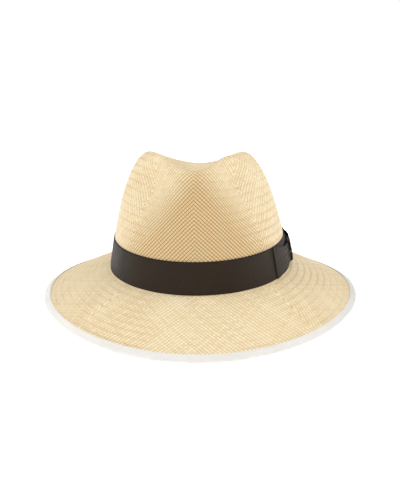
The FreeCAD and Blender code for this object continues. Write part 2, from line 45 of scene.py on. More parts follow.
BASE_HALF_WIDTH = 0.0862
BASE_HALF_LENGTH = 0.1035
BASE_ROLL = 0.0009
BASE_SADDLE = 0.0006
BREAK_RADIUS = 0.002
STRAW_THICKNESS = 0.0013
RIDGE_HALF_WIDTH = 0.044
RIDGE_FRONT = 0.073
RIDGE_BACK = 0.067
RIDGE_HEIGHT = 0.1126
RIDGE_FALL = 0.0082
FRONT_DIP = 0.0152
FRONT_DIP_ANGLE = radians(43.9)
BACK_DIP = 0.0205
BACK_DIP_ANGLE = radians(62.7)
WALL_TAPER = 0.448
WALL_POWER = 2.94
CROWN_LEAN = 0.029
CREASE_HEIGHT = 0.083
CREASE_OFFSET = 0.008
PINCH_DEPTH = 0.017
PINCH_ANGLE = radians(43)
PINCH_SPREAD = radians(20)
PINCH_HEIGHT = 0.088
PINCH_RISE = 0.025
BRIM_HALF_WIDTH = 0.151
BRIM_FRONT = 0.1606
BRIM_BACK = 0.1704
BRIM_CORNER_TRIM = 0.003
BRIM_DROP = 0.033
BRIM_DROP_SWING = 0.0046
DROOP_POWER = 1.06


def xyz(x, y, z):
    return np.stack(np.broadcast_arrays(x, y, z), axis=-1).astype(float)


def angle_between(angle, other):
    """Signed difference of two angles, in the range -pi to pi."""
    return (angle - other + pi) % (2 * pi) - pi


def bell(value, width):
    return np.exp(-((value / width) ** 2))


def unit(vectors):
    return vectors / np.linalg.norm(vectors, axis=-1, keepdims=True)


def base_line(angle):
    """The break: an oval, a little higher on the bow's side and lower at both sides than at its ends."""
    height = BASE_ROLL * np.cos(angle) - BASE_SADDLE * np.cos(angle) ** 2
    return xyz(BASE_HALF_WIDTH * np.cos(angle), BASE_HALF_LENGTH * np.sin(angle), height)


def ridge_line(angle):
    """The ridge round the top of the crown: high at the sides, dipping at the front and the back."""
    middle = (RIDGE_BACK - RIDGE_FRONT) / 2
    half_length = (RIDGE_BACK + RIDGE_FRONT) / 2
    height = RIDGE_HEIGHT - RIDGE_FALL * np.sin(angle)
    height = height - FRONT_DIP * bell(angle_between(angle, FRONT), FRONT_DIP_ANGLE)
    height = height - BACK_DIP * bell(angle_between(angle, BACK), BACK_DIP_ANGLE)
    return xyz(RIDGE_HALF_WIDTH * np.cos(angle), middle + half_length * np.sin(angle), height)


def edge_line(angle):
    """The raw edge of the brim: an oval with slightly trimmed corners, lowest at front and back."""
    middle = (BRIM_BACK - BRIM_FRONT) / 2
    half_length = (BRIM_BACK + BRIM_FRONT) / 2
    trim = 1 - BRIM_CORNER_TRIM * np.sin(2 * angle) ** 2
    drop = BRIM_DROP - BRIM_DROP_SWING * np.cos(2 * angle)
    return xyz(BRIM_HALF_WIDTH * np.cos(angle) * trim, middle + half_length * np.sin(angle) * trim, -drop)


def pinch_and_lean(angle, point, strength=1.0):
    """Push the crown in at the two front pinches, and lean it slightly to one side."""
    reach = sum(bell(angle_between(angle, FRONT + side * PINCH_ANGLE), PINCH_SPREAD) for side in (-1, 1))
    x, y, z = np.moveaxis(point, -1, 0)
    push = strength * PINCH_DEPTH * reach * bell(z - PINCH_HEIGHT, PINCH_RISE)
    scale = 1 - push / np.maximum(np.hypot(x, y), 1e-9)
    return xyz(x * scale - CROWN_LEAN * z, y * scale, z)


def wall(angle, height_share):
    """The crown's side wall; height_share is 0 at the break and 1 at the ridge."""
    share = np.clip(height_share, 0, 1)
    bulge = 1 - np.sqrt(1 - share ** WALL_POWER)
    inward = WALL_TAPER * height_share + (1 - WALL_TAPER) * bulge
    base, ridge = base_line(angle), ridge_line(angle)
    point = base + (ridge - base) * np.asarray(inward)[..., None]
    height = base[..., 2] + (ridge[..., 2] - base[..., 2]) * height_share
    return pinch_and_lean(angle, xyz(point[..., 0], point[..., 1], height))


def wall_by_level(angle, level):
    """The wall by its level, which is minus the height above the break, so that it grows downwards as the
    stations do."""
    return wall(angle, -level / (ridge_line(angle)[..., 2] - base_line(angle)[..., 2]))


def dent(angle, share):
    """The top dent; share is 0 at the ridge and 1 at the middle of the crease."""
    ridge = ridge_line(angle)
    floor = np.array([0, -CREASE_OFFSET, CREASE_HEIGHT])
    fall = share * share * (3 - 2 * share)
    point = ridge + (floor - ridge) * np.asarray(share)[..., None]
    height = ridge[..., 2] + (CREASE_HEIGHT - ridge[..., 2]) * fall
    return pinch_and_lean(angle, xyz(point[..., 0], point[..., 1], height), (1 - share) ** 2)


def brim(angle, share):
    """The brim's upper face; share is 0 at the break and 1 at the straw's edge."""
    base, edge = base_line(angle), edge_line(angle)
    point = base + (edge - base) * np.asarray(share)[..., None]
    height = edge[..., 2] * np.maximum(share, 0) ** DROOP_POWER + base[..., 2] * np.maximum(1 - share, 0) ** 2
    return xyz(point[..., 0], point[..., 1], height)


def brim_run(angle):
    return np.linalg.norm(edge_line(angle) - base_line(angle), axis=-1)


def straw(angle, station):
    """The straw's outer face.  Station 0 is the crease's middle, 1 the ridge, 2 and 3 the two ends of the
    rounded break, and 4 the straw's edge."""
    angle, station = np.broadcast_arrays(angle, station)
    low_turn = np.arcsin(BREAK_RADIUS / ridge_line(angle)[..., 2])
    low_share = np.sin(low_turn)
    start_share = BREAK_RADIUS / brim_run(angle)
    turn = low_turn + (pi / 2 - low_turn) * (2 - np.clip(station, 1, 2))
    blend = np.clip(station - 2, 0, 1)[..., None]
    corner = (wall(angle, low_share) * (1 - blend) ** 2 + base_line(angle) * 2 * blend * (1 - blend)
              + brim(angle, start_share) * blend ** 2)
    choices = [dent(angle, np.clip(1 - station, 0, 1)), wall(angle, np.sin(turn)), corner]
    conditions = [(station <= limit)[..., None] for limit in (1, 2, 3)]
    return np.select(conditions, choices, brim(angle, start_share + (1 - start_share) * (station - 3)))


def lifted(surface, angle, place, distance):
    """Points a distance outside a surface, which is a function of the angle and of one other coordinate that
    grows from the crown's top towards the brim."""
    step = 1e-4
    across = surface(angle + step, place) - surface(angle - step, place)
    along = surface(angle, place + step) - surface(angle, place - step)
    return surface(angle, place) + unit(np.cross(along, across)) * np.asarray(distance)[..., None]


# ---------------------------------------------------------------- the sweatband's shape, as in the CAD model

SWEAT_HEIGHT = 0.032
SWEAT_BOTTOM = 0.0016
SWEAT_THICKNESS = 0.001
SWEAT_BASE = (0.0839, 0.1013)
SWEAT_TOP = (0.0774, 0.095)
SWEAT_TOP_SHIFT = -0.0013


def sweat_face(angle, height, depth):
    """A point a depth inside the sweatband's outer face, at a height above the break."""
    share = (height - SWEAT_BOTTOM) / SWEAT_HEIGHT
    half_width = SWEAT_BASE[0] + (SWEAT_TOP[0] - SWEAT_BASE[0]) * share - depth
    half_length = SWEAT_BASE[1] + (SWEAT_TOP[1] - SWEAT_BASE[1]) * share - depth
    return xyz(half_width * np.cos(angle) - CROWN_LEAN * height,
               half_length * np.sin(angle) + SWEAT_TOP_SHIFT * share, height)


# ---------------------------------------------------------------- meshes from grids of points

MIDDLE, OUTER_FACE = 0, -1
JOIN_DISTANCE = 0.001 * MM
STITCH_STATIONS = np.array([-1, -0.8, -0.4, 0, 0.4, 0.8, 1.0])
STITCH_SWELL = np.array([0.05, 0.7, 0.95, 1, 0.95, 0.7, 0.05])
STITCH_DIP = 0.6
STITCH_SIDES = 8


def running_length(points, axis):
    """Distance from the first point along an axis of a grid."""
    steps = np.linalg.norm(np.diff(points, axis=axis), axis=-1)
    first = np.zeros_like(np.take(steps, [0], axis=axis))
    return np.concatenate([first, np.cumsum(steps, axis=axis)], axis=axis)


def grid_faces(rows, columns, first=0):
    """Four-cornered faces between neighbouring rows and columns.  They look along rows x columns."""
    number = first + np.arange(rows * columns).reshape(rows, columns)
    corners = (number[:-1, :-1], number[1:, :-1], number[1:, 1:], number[:-1, 1:])
    return np.stack(corners, axis=-1).reshape(-1, 4)


def mesh_object(name, points, faces, maps=None):
    """A smooth-shaded object; maps gives each UV map's name and its coordinates, one pair per point."""
    mesh = bpy.data.meshes.new(name)
    mesh.from_pydata(points.reshape(-1, 3).tolist(), [], faces.tolist())
    corners = np.empty(len(mesh.loops), np.int32)
    mesh.loops.foreach_get("vertex_index", corners)
    for map_name, pairs in (maps or {}).items():
        layer = mesh.uv_layers.new(name=map_name)
        layer.data.foreach_set("uv", pairs.reshape(-1, 2)[corners].astype(np.float32).ravel())
    mesh.polygons.foreach_set("use_smooth", np.ones(len(mesh.polygons), bool))
    piece = bpy.data.objects.new(name, mesh)
    bpy.context.scene.collection.objects.link(piece)
    return piece


def grid_object(name, points, maps):
    """A mesh from a grid of points.  Points that fall together, as at a closed ring's seam, are joined."""
    piece = mesh_object(name, points, grid_faces(*points.shape[:2]), maps)
    work = bmesh.new()
    work.from_mesh(piece.data)
    bmesh.ops.remove_doubles(work, verts=work.verts, dist=JOIN_DISTANCE)
    work.to_mesh(piece.data)
    work.free()
    return piece


def thicken(piece, thickness, side):
    """Give a surface its thickness; side says whether it is the sheet's middle or its outer face."""
    solid = piece.modifiers.new("thickness", "SOLIDIFY")
    solid.thickness = thickness
    solid.offset = side


def cloth_object(name, points, thickness):
    """A sheet of a given thickness on a grid that is its middle and whose columns run along the cloth.  The
    map "cloth" holds the distance along the cloth and the distance from its nearest long edge."""
    along = running_length(points, 1)
    across = running_length(points, 0)
    across = np.minimum(across, across[-1:] - across)
    piece = grid_object(name, points, {"cloth": np.stack([along, across], axis=-1)})
    thicken(piece, thickness, MIDDLE)
    return piece


def stitches_object(name, centres, directions, normals, length, radius):
    """Short threads, each a slim bead that is highest in its middle and dips into the cloth at both ends.
    The map "thread" holds the share of a stitch's length and the share of a turn round it."""
    stations = STITCH_STATIONS
    swell = STITCH_SWELL * radius
    turns = np.linspace(0, 2 * pi, STITCH_SIDES + 1)
    sides = np.cross(normals, directions)
    rise = -STITCH_DIP * radius * stations ** 2
    axis_part = directions[:, None, None, :] * (stations * length / 2)[None, :, None, None]
    up = (swell[:, None] * np.cos(turns) + rise[:, None])[None, ..., None] * normals[:, None, None, :]
    aside = (swell[:, None] * np.sin(turns))[None, ..., None] * sides[:, None, None, :]
    points = centres[:, None, None, :] + axis_part + up + aside
    size = len(stations) * len(turns)
    faces = np.concatenate([grid_faces(len(stations), len(turns), i * size) for i in range(len(centres))])
    along, turn = np.broadcast_arrays((stations[:, None] + 1) / 2, turns / (2 * pi))
    pairs = np.broadcast_to(np.stack([along, turn], axis=-1), points.shape[:-1] + (2,))
    return mesh_object(name, points, faces[:, ::-1], {"thread": np.ascontiguousarray(pairs)})


def settle(piece, material, slot, *nodes):
    """Finish a piece: its material, the body it rides on and the CAD nodes it replaces; slot is not used."""
    piece.data.materials.append(material)
    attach(piece, "root")
    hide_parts(*nodes)


# ---------------------------------------------------------------- materials

class Nodes:
    """Short calls that add nodes to a material and link them."""

    def __init__(self, name, **uniform):
        self.material = bpy.data.materials.new(name)
        self.material.use_nodes = True
        self.tree = self.material.node_tree
        self.shader = self.tree.nodes["Principled BSDF"]
        for socket, value in uniform.items():
            self.shader.inputs[socket.replace("_", " ")].default_value = value

    def add(self, kind, *values, output=0, **settings):
        node = self.tree.nodes.new(kind)
        for setting, value in settings.items():
            setattr(node, setting, value)
        for socket, value in zip(node.inputs, values):
            self.feed(socket, value)
        return node.outputs[output]

    def feed(self, socket, value):
        if isinstance(value, bpy.types.NodeSocket):
            self.tree.links.new(value, socket)
        elif value is not None:
            socket.default_value = value

    def set(self, socket, value):
        self.feed(self.shader.inputs[socket], value)

    def math(self, operation, *values):
        return self.add("ShaderNodeMath", *values, operation=operation)

    def plus(self, one, two):
        return self.math("ADD", one, two)

    def minus(self, one, two):
        return self.math("SUBTRACT", one, two)

    def times(self, one, two):
        return self.math("MULTIPLY", one, two)

    def fit(self, value, low, high, new_low=0.0, new_high=1.0):
        """Carry a value from one range to another, and keep it inside the new one."""
        return self.add("ShaderNodeMapRange", value, low, high, new_low, new_high)

    def map(self, name):
        """The two coordinates of a UV map."""
        node = self.tree.nodes.new("ShaderNodeUVMap")
        node.uv_map = name
        split = self.tree.nodes.new("ShaderNodeSeparateXYZ")
        self.tree.links.new(node.outputs[0], split.inputs[0])
        return split.outputs[0], split.outputs[1]

    def place(self, x, y, z=0.0):
        return self.add("ShaderNodeCombineXYZ", x, y, z)

    def noise(self, place, scale, detail=2.0, roughness=0.5):
        """Smooth noise from 0 to 1."""
        node = self.tree.nodes.new("ShaderNodeTexNoise")
        self.feed(node.inputs["Vector"], place)
        node.inputs["Scale"].default_value = scale
        node.inputs["Detail"].default_value = detail
        node.inputs["Roughness"].default_value = roughness
        return node.outputs[0]

    def object_place(self):
        return self.add("ShaderNodeTexCoord", output=3)

    def mix(self, share, one, two):
        """Two colours mixed; share 0 is all one and 1 is all two."""
        node = self.tree.nodes.new("ShaderNodeMix")
        node.data_type = "RGBA"
        for number, value in ((0, share), (6, one), (7, two)):
            self.feed(node.inputs[number], value)
        return node.outputs[2]

    def bump(self, height, depth):
        """Make the surface's relief from a height of 0 to 1, where 1 stands that depth above 0."""
        node = self.tree.nodes.new("ShaderNodeBump")
        node.inputs["Distance"].default_value = depth
        self.tree.links.new(height, node.inputs["Height"])
        self.set("Normal", node.outputs[0])


def colour(red, green, blue):
    """A linear colour from the eight-bit values that a screen shows."""
    return tuple(((value / 255 + 0.055) / 1.055) ** 2.4 if value > 10 else value / 3295
                 for value in (red, green, blue)) + (1.0,)


# ---------------------------------------------------------------- materials of this hat

STRAND_CELL_WIDTH = 0.0037
STRAND_CELL_HEIGHT = 0.0034
ROUND_PITCH = 0.007

STRAW_PALE = colour(238, 222, 186)
STRAW_DEEP = colour(220, 196, 152)
# Painted shade: the browner tone given to the crown's front.
STRAW_FRONT_SHADE = colour(210, 180, 129)
# Painted shade: the dark brown given to the gaps between strands.
STRAW_GAP_SHADE = colour(104, 64, 28)
STRAW_ROUND = colour(198, 168, 120)
STRAW_RELIEF = 0.45 * MM

# In the crown's front, above the hatband and between the pinches, painted shade makes the straw browner, with
# darker gaps.
FRONT_DEPTH = (-0.045, -0.068)
FRONT_RISE = (0.018, 0.030)
FRONT_ASIDE = (0.008, 0.033)
FRONT_ASIDE_HEIGHT = 0.085
FRONT_ASIDE_SLOPE = 0.8

def straw_material():
    """Split palm strands woven over and under each other on the slant, in rounds that widen from the crown's
    top.  The map "weave" holds the distances from the hat's nearest quarter line and from the crown's top."""
    n = Nodes("straw", Specular_IOR_Level=0.35, Sheen_Weight=0.08)
    across, down = n.map("weave")
    place = n.object_place()
    split = n.tree.nodes.new("ShaderNodeSeparateXYZ")
    n.feed(split.inputs[0], place)
    x, y, z = split.outputs

    wander = n.times(n.minus(n.noise(place, 45, 1), 0.5), 0.35)
    u = n.plus(n.times(across, 1 / STRAND_CELL_WIDTH), wander)
    v = n.times(down, 1 / STRAND_CELL_HEIGHT)
    slants = (n.minus(u, v), n.plus(u, v))
    strands = [n.math("FLOOR", slant) for slant in slants]
    insides = [n.math("FRACT", slant) for slant in slants]
    sides = [n.math("ABSOLUTE", n.minus(inside, 0.5)) for inside in insides]
    second_on_top = n.math("FLOORED_MODULO", n.plus(*strands), 2.0)

    crowns = [n.minus(1.0, n.times(16.0, n.math("POWER", side, 4.0))) for side in sides]
    swells = [n.minus(1.0, n.times(1.6, n.times(side, side))) for side in sides]
    tops = [n.times(crowns[0], swells[1]), n.times(crowns[1], swells[0])]
    height = n.plus(tops[0], n.times(second_on_top, n.minus(tops[1], tops[0])))

    other_half = n.math("GREATER_THAN", x, 0.0)
    tints = [n.add("ShaderNodeTexWhiteNoise", n.place(strand, other_half, number))
             for number, strand in enumerate(strands)]
    tint = n.plus(tints[0], n.times(second_on_top, n.minus(tints[1], tints[0])))
    fibres = [n.noise(n.place(n.times(slants[i], 9.0), n.times(slants[1 - i], 0.5), float(i)), 1.0, 1)
              for i in (0, 1)]
    fibre = n.plus(fibres[0], n.times(second_on_top, n.minus(fibres[1], fibres[0])))
    cloud = n.noise(place, 22, 3)
    shade = n.plus(n.times(tint, 0.45), n.plus(n.times(fibre, 0.35), n.times(cloud, 0.45)))
    straw = n.mix(n.fit(shade, 0.25, 1.0), STRAW_PALE, STRAW_DEEP)

    wave = n.math("COSINE", n.times(down, 2 * pi / ROUND_PITCH))
    uneven = n.fit(n.noise(place, 14, 2), 0.35, 0.65)
    straw = n.mix(n.times(n.fit(wave, 0.2, 1.0, 0.0, 0.52), uneven), straw, STRAW_ROUND)

    # Painted shade on the crown's front: a mask between the pinches, above the hatband, where the straw is
    # painted browner and its gaps darker.
    front = n.times(n.fit(y, *FRONT_DEPTH), n.fit(z, *FRONT_RISE))
    aside = n.plus(n.math("ABSOLUTE", x), n.times(n.minus(z, FRONT_ASIDE_HEIGHT), FRONT_ASIDE_SLOPE))
    front = n.times(front, n.fit(aside, *FRONT_ASIDE, 1.0, 0.15))
    straw = n.mix(n.times(front, 0.9), straw, STRAW_FRONT_SHADE)
    # Painted shade in the gaps between strands: dark brown at each strand's edges, stronger on the crown's
    # front.
    painted_gap_shade = n.plus(0.42, n.times(front, 0.58))
    gaps = [n.fit(sides[0], 0.30, 0.5, 0.0, 1.0), n.fit(sides[1], 0.34, 0.5, 0.0, 0.6)]
    gap = n.times(n.math("MAXIMUM", *gaps), painted_gap_shade)
    n.set("Base Color", n.mix(gap, straw, STRAW_GAP_SHADE))
    n.set("Roughness", n.fit(shade, 0.3, 1.0, 0.45, 0.62))
    n.bump(height, STRAW_RELIEF)
    return n.material


RIBBON_GLEAM = (1.0, 0.86, 0.72, 1.0)
RIBBON_SELVEDGE = 0.7 * MM
WARP_PITCH = 0.3 * MM


def ribbon_material(name, light, dark, rib_pitch, rib_depth, gloss):
    """Ribbed ribbon: rounded ribs of weft across it under fine warp threads, and flat selvedges."""
    n = Nodes(name, Specular_IOR_Level=gloss, Specular_Tint=RIBBON_GLEAM, Sheen_Weight=0.02)
    along, across = n.map("cloth")
    place = n.object_place()
    drift = n.times(n.minus(n.noise(place, 60, 1), 0.5), 0.8)
    rib = n.math("COSINE", n.plus(n.times(along, 2 * pi / rib_pitch), drift))
    warp = n.math("COSINE", n.times(across, 2 * pi / WARP_PITCH))
    inner = n.fit(across, RIBBON_SELVEDGE * 0.8, RIBBON_SELVEDGE * 1.1)
    ribs = n.times(n.fit(rib, -1.0, 1.0), inner)
    edges_and_warp = n.plus(n.times(n.fit(warp, -1.0, 1.0), 0.10), n.times(n.minus(1.0, inner), 0.45))
    height = n.plus(n.times(ribs, 0.85), edges_and_warp)
    cloud = n.noise(place, 35, 3)
    slub = n.noise(n.place(n.times(along, 900.0), n.times(across, 60.0)), 1.0, 2)
    # Painted shade: the ribs darken the colour in the troughs between them; the cloud and slub are the
    # ribbon's own uneven tone.
    shade = n.plus(n.times(ribs, 0.40), n.plus(n.times(cloud, 0.35), n.times(slub, 0.35)))
    n.set("Base Color", n.mix(n.fit(shade, 0.25, 0.85), dark, light))
    n.set("Roughness", n.fit(cloud, 0.3, 0.7, 0.48, 0.62))
    n.bump(height, rib_depth)
    return n.material


def thread_material(name, light, dark):
    """Two-ply sewing thread, on the map "thread"."""
    n = Nodes(name, Specular_IOR_Level=0.3, Roughness=0.6)
    along, turn = n.map("thread")
    twist = n.math("COSINE", n.times(n.plus(n.times(along, 3.0), n.times(turn, 2.0)), 2 * pi))
    lint = n.noise(n.object_place(), 900, 2)
    # Painted shade: the colour darkens in the grooves between the two plies, where the twist dips; the lint
    # is the thread's own uneven tone.
    n.set("Base Color", n.mix(n.plus(n.fit(twist, -1.0, 1.0, 0.0, 0.6), n.times(lint, 0.4)), dark, light))
    n.bump(n.fit(twist, -1.0, 1.0), 0.06 * MM)
    return n.material


def leather_material():
    """Smooth sheep leather with fine pebbled grain, darker pores and paler rubbed edges."""
    n = Nodes("sweat_leather", Specular_IOR_Level=0.4)
    _, across = n.map("cloth")
    place = n.object_place()
    cells = n.add("ShaderNodeTexVoronoi", place, None, 1400.0, feature="F1")
    fine = n.noise(place, 2600, 2)
    cloud = n.noise(place, 40, 4, 0.6)
    grain = n.plus(n.times(cells, 0.7), n.times(fine, 0.3))
    hide = n.mix(n.fit(cloud, 0.3, 0.7), colour(168, 122, 82), colour(196, 152, 108))
    hide = n.mix(n.fit(grain, 0.15, 0.75, 0.35, 0.0), hide, colour(118, 78, 48))
    rubbed = n.fit(across, 0.0, 1.6 * MM, 0.5, 0.0)
    n.set("Base Color", n.mix(rubbed, hide, colour(214, 178, 138)))
    n.set("Roughness", n.fit(cloud, 0.3, 0.7, 0.40, 0.56))
    n.bump(grain, 0.12 * MM)
    return n.material


def cloth_material(name, light, dark, pitch, depth):
    """Plain-woven tape: fine threads over and under each other."""
    n = Nodes(name, Roughness=0.8, Sheen_Weight=0.2)
    along, across = n.map("cloth")
    waves = [n.math("SINE", n.times(length, pi / pitch)) for length in (along, across)]
    weave = n.fit(n.times(*waves), -1.0, 1.0)
    cloud = n.noise(n.object_place(), 120, 3)
    n.set("Base Color", n.mix(n.plus(n.times(weave, 0.6), n.times(cloud, 0.4)), dark, light))
    n.bump(weave, depth)
    return n.material


def reed_material():
    """Slightly yellowed matte plastic with small scuffs."""
    n = Nodes("reed_plastic", Specular_IOR_Level=0.45)
    place = n.object_place()
    cloud = n.noise(place, 90, 4, 0.6)
    scuff = n.noise(place, 1500, 2)
    n.set("Base Color", n.mix(n.fit(cloud, 0.3, 0.7), colour(214, 205, 182), colour(232, 226, 208)))
    n.set("Roughness", n.fit(scuff, 0.3, 0.7, 0.35, 0.6))
    n.bump(scuff, 0.03 * MM)
    return n.material


# ---------------------------------------------------------------- woven straw

STRAW_COLUMNS = 256
RIPPLE = 0.09 * MM
UNEVENNESS = 0.16 * MM
UNEVEN_FADE = 0.006
BREAK_STATION = 2.5
BREAK_DISTANCE = 0.1725
BREAK_CLEARANCE = 0.004
RIBBON_TOP = 0.0308
BINDING_WIDTH = 0.0075


def straw_stations():
    """Rows of the straw's mesh, from the crease's middle to the brim's edge; each run is a first and a last
    station and a count."""
    runs = ((0.01, 1, 38), (1, 2, 66), (2, 3, 6), (3, 4, 46))
    return np.unique(np.concatenate([np.linspace(*run) for run in runs]))


def slow_bumps(points):
    """Handmade unevenness, from -1 to 1: a few long waves, each with a direction and a phase."""
    waves = ((31, 17, 24, 0.3), (-22, 38, 15, 1.9), (47, -29, 33, 4.1), (13, 55, -41, 2.6))
    return sum(np.sin(points @ np.array(wave[:3]) * 2 + wave[3]) for wave in waves) / len(waves)


def make_straw():
    """One skin of straw, a little uneven and rippled with its rounds wherever no ribbon lies on it."""
    stations = straw_stations()
    angles = FRONT + np.linspace(0, 2 * pi, STRAW_COLUMNS + 1)
    place, angle = np.meshgrid(stations, angles, indexing="ij")
    plain = straw(angle, place)
    meridian = running_length(plain, 0)
    to_break = meridian[np.abs(stations - BREAK_STATION).argmin()]
    down = np.where(place <= BREAK_STATION, meridian * BREAK_DISTANCE / to_break,
                    BREAK_DISTANCE + meridian - to_break)
    ring = running_length(plain, 1)
    quarter = STRAW_COLUMNS // 4
    across = np.abs(ring[:, :, None] - ring[:, None, ::quarter]).min(axis=2)

    from_band = np.where(place < BREAK_STATION, plain[..., 2] - base_line(angle)[..., 2] - RIBBON_TOP,
                         meridian - to_break - BREAK_CLEARANCE)
    from_binding = meridian[-1] - meridian - BINDING_WIDTH
    free = np.clip(np.minimum(from_band, from_binding) / UNEVEN_FADE, 0, 1)
    ripple = RIPPLE * np.cos(down * 2 * pi / ROUND_PITCH)
    points = lifted(straw, angle, place, free * (UNEVENNESS * slow_bumps(plain) - ripple))
    points[0] = points[0].mean(axis=0)
    piece = grid_object("woven_straw", points, {"weave": np.stack([across, down], axis=-1)})
    thicken(piece, STRAW_THICKNESS, OUTER_FACE)
    settle(piece, straw_material(), "straw", "straw_body")


# ---------------------------------------------------------------- binding of the brim's edge

BINDING_LIFT = 0.35 * MM
BINDING_THICKNESS = 0.45 * MM
BINDING_SIDE_TRIM = 0.22
BINDING_PUCKERS = ((0.05 * MM, 161, 0), (0.06 * MM, 47, 1))
BINDING_PUCKER_FLOOR = -0.05 * MM
BINDING_END_GAP = 0.25 * MM
BINDING_NOSE = 0.7
BINDING_FLAT_ROWS = 6
STITCH_INSET = 1.2 * MM
STITCH_LIFT = 0.12 * MM
STITCH_COUNT = 320


def over_brim(angle, outward, lift):
    """A point by its distance beyond the straw's edge and above the brim's upper face."""
    station = 4 + outward / (brim_run(angle) - BREAK_RADIUS)
    return lifted(straw, angle, station, lift)


def make_binding(ivory):
    """One ribbon folded over the straw's edge, its ends butted at the back."""
    nose = np.linspace(pi / 2, -pi / 2, 9)
    half = STRAW_THICKNESS / 2 + BINDING_LIFT
    flat = np.linspace(-BINDING_WIDTH, 0, BINDING_FLAT_ROWS)
    outward = np.concatenate([flat[:-1], half * BINDING_NOSE * np.cos(nose), flat[-2::-1]])
    face = np.full(BINDING_FLAT_ROWS - 1, half)
    lift = np.concatenate([face, half * np.sin(nose), -face]) - STRAW_THICKNESS / 2
    gap = BINDING_END_GAP / BRIM_HALF_WIDTH
    angle = np.linspace(BACK + gap, BACK + 2 * pi - gap, 561)
    pucker = sum(depth * np.sin(angle * count + phase) for depth, count, phase in BINDING_PUCKERS)
    edge_share = np.clip(-outward / BINDING_WIDTH, 0, 1)[:, None] ** 2
    grid_angle, _ = np.meshgrid(angle, outward)
    side = np.sign(lift + STRAW_THICKNESS / 2)[:, None]
    narrowing = 1 - BINDING_SIDE_TRIM * np.cos(grid_angle) ** 2 * (outward < 0)[:, None]
    points = over_brim(grid_angle, outward[:, None] * narrowing,
                       lift[:, None] + side * np.maximum(edge_share * pucker, BINDING_PUCKER_FLOOR))
    piece = cloth_object("brim_edge_binding", points, BINDING_THICKNESS)
    settle(piece, ivory, "ivory_ribbon", "brim_binding")


def make_binding_stitches(thread):
    """A row of lock stitches on each face of the brim, close to the binding's inner edge."""
    angle = BACK + (np.arange(STITCH_COUNT) + 0.5) * 2 * pi / STITCH_COUNT
    outward = (STITCH_INSET - BINDING_WIDTH) * (1 - BINDING_SIDE_TRIM * np.cos(angle) ** 2)
    along = unit(over_brim(angle + ANGLE_STEP, outward, 0) - over_brim(angle - ANGLE_STEP, outward, 0))
    up = unit(over_brim(angle, outward, MM) - over_brim(angle, outward, 0))
    top = BINDING_LIFT + BINDING_THICKNESS / 2
    upper = over_brim(angle, outward, top + STITCH_LIFT)
    lower = over_brim(angle, outward, -STRAW_THICKNESS - top - STITCH_LIFT)
    piece = stitches_object("binding_stitches", np.concatenate([upper, lower]),
                            np.concatenate([along, along]), np.concatenate([up, -up]),
                            length=2.35 * MM, radius=0.19 * MM)
    settle(piece, thread, "ivory_thread", "binding_thread")


# ---------------------------------------------------------------- hatband, bow and tacks

RIBBON_BOTTOM = 0.0014
RIBBON_MIDDLE = 0.42 * MM
RIBBON_THICKNESS = 0.5 * MM
HATBAND_END_GAP = 0.05 * MM
HATBAND_ROWS = 15
HATBAND_SLACK = 0.10 * MM
HATBAND_BELLY = 0.05 * MM

BOW_ANGLE = radians(-3)
WING_ANGLE = radians(30)
WING_START = 0.002
WING_BOTTOM = 0.0056
WING_TOP = 0.0237
WING_OFFSET = 0.0017
WING_LAYER = 0.35 * MM
WING_THICKNESS = 0.33 * MM
WING_PLEAT = 0.2 * MM
WING_PLEATS = 4
WING_ROWS = 29
FRONT_WING_END_OFFSET = 0.0009
REAR_WING_LIFT = 0.0006
KNOT_REACH = 0.3

# The knot's place, from the thicknesses and gaps of the CAD model's ribbons outside the wall.
HATBAND_GAP = 0.12 * MM
HATBAND_LAYER = 0.6 * MM
KNOT_GAP = 0.1 * MM
KNOT_LAYER = 0.4 * MM
KNOT_DEPTH = 3.1 * MM
KNOT_DISTANCE = HATBAND_GAP + HATBAND_LAYER + KNOT_GAP + KNOT_LAYER + KNOT_DEPTH / 2

TACK_ANGLES = (100, 160, 220, 280, 320, 60)
TACK_INSET = 0.0025
TACK_LIFT = 0.15 * MM


def band_rows(columns, lift, rows, bottom=RIBBON_BOTTOM, top=RIBBON_TOP):
    """Points on the crown's wall at a lift outside it, one row per height from a ribbon's top edge down."""
    share = np.linspace(0, 1, rows)[:, None]
    angle, level, lift = np.broadcast_arrays(columns, -(top + (bottom - top) * share), lift)
    return lifted(wall_by_level, angle, level, lift)


def make_hatband(dark):
    """The ribbon round the crown, drawn tight, with a little slack along its edges."""
    gap = HATBAND_END_GAP / BASE_HALF_LENGTH
    angle = np.linspace(BOW_ANGLE + gap, BOW_ANGLE + 2 * pi - gap, 401)
    across = np.linspace(-1, 1, HATBAND_ROWS)[:, None]
    slack = HATBAND_SLACK * (np.sin(angle * 7 + 1) + np.sin(angle * 12 + 4) + 2) * across ** 4
    belly = HATBAND_BELLY * (1 + np.sin(angle * 17 + 2)) * (1 - across ** 2)
    points = band_rows(angle, RIBBON_MIDDLE + slack + belly, HATBAND_ROWS)
    piece = cloth_object("hatband", points, RIBBON_THICKNESS)
    settle(piece, dark, "dark_ribbon", "hatband_ribbon")


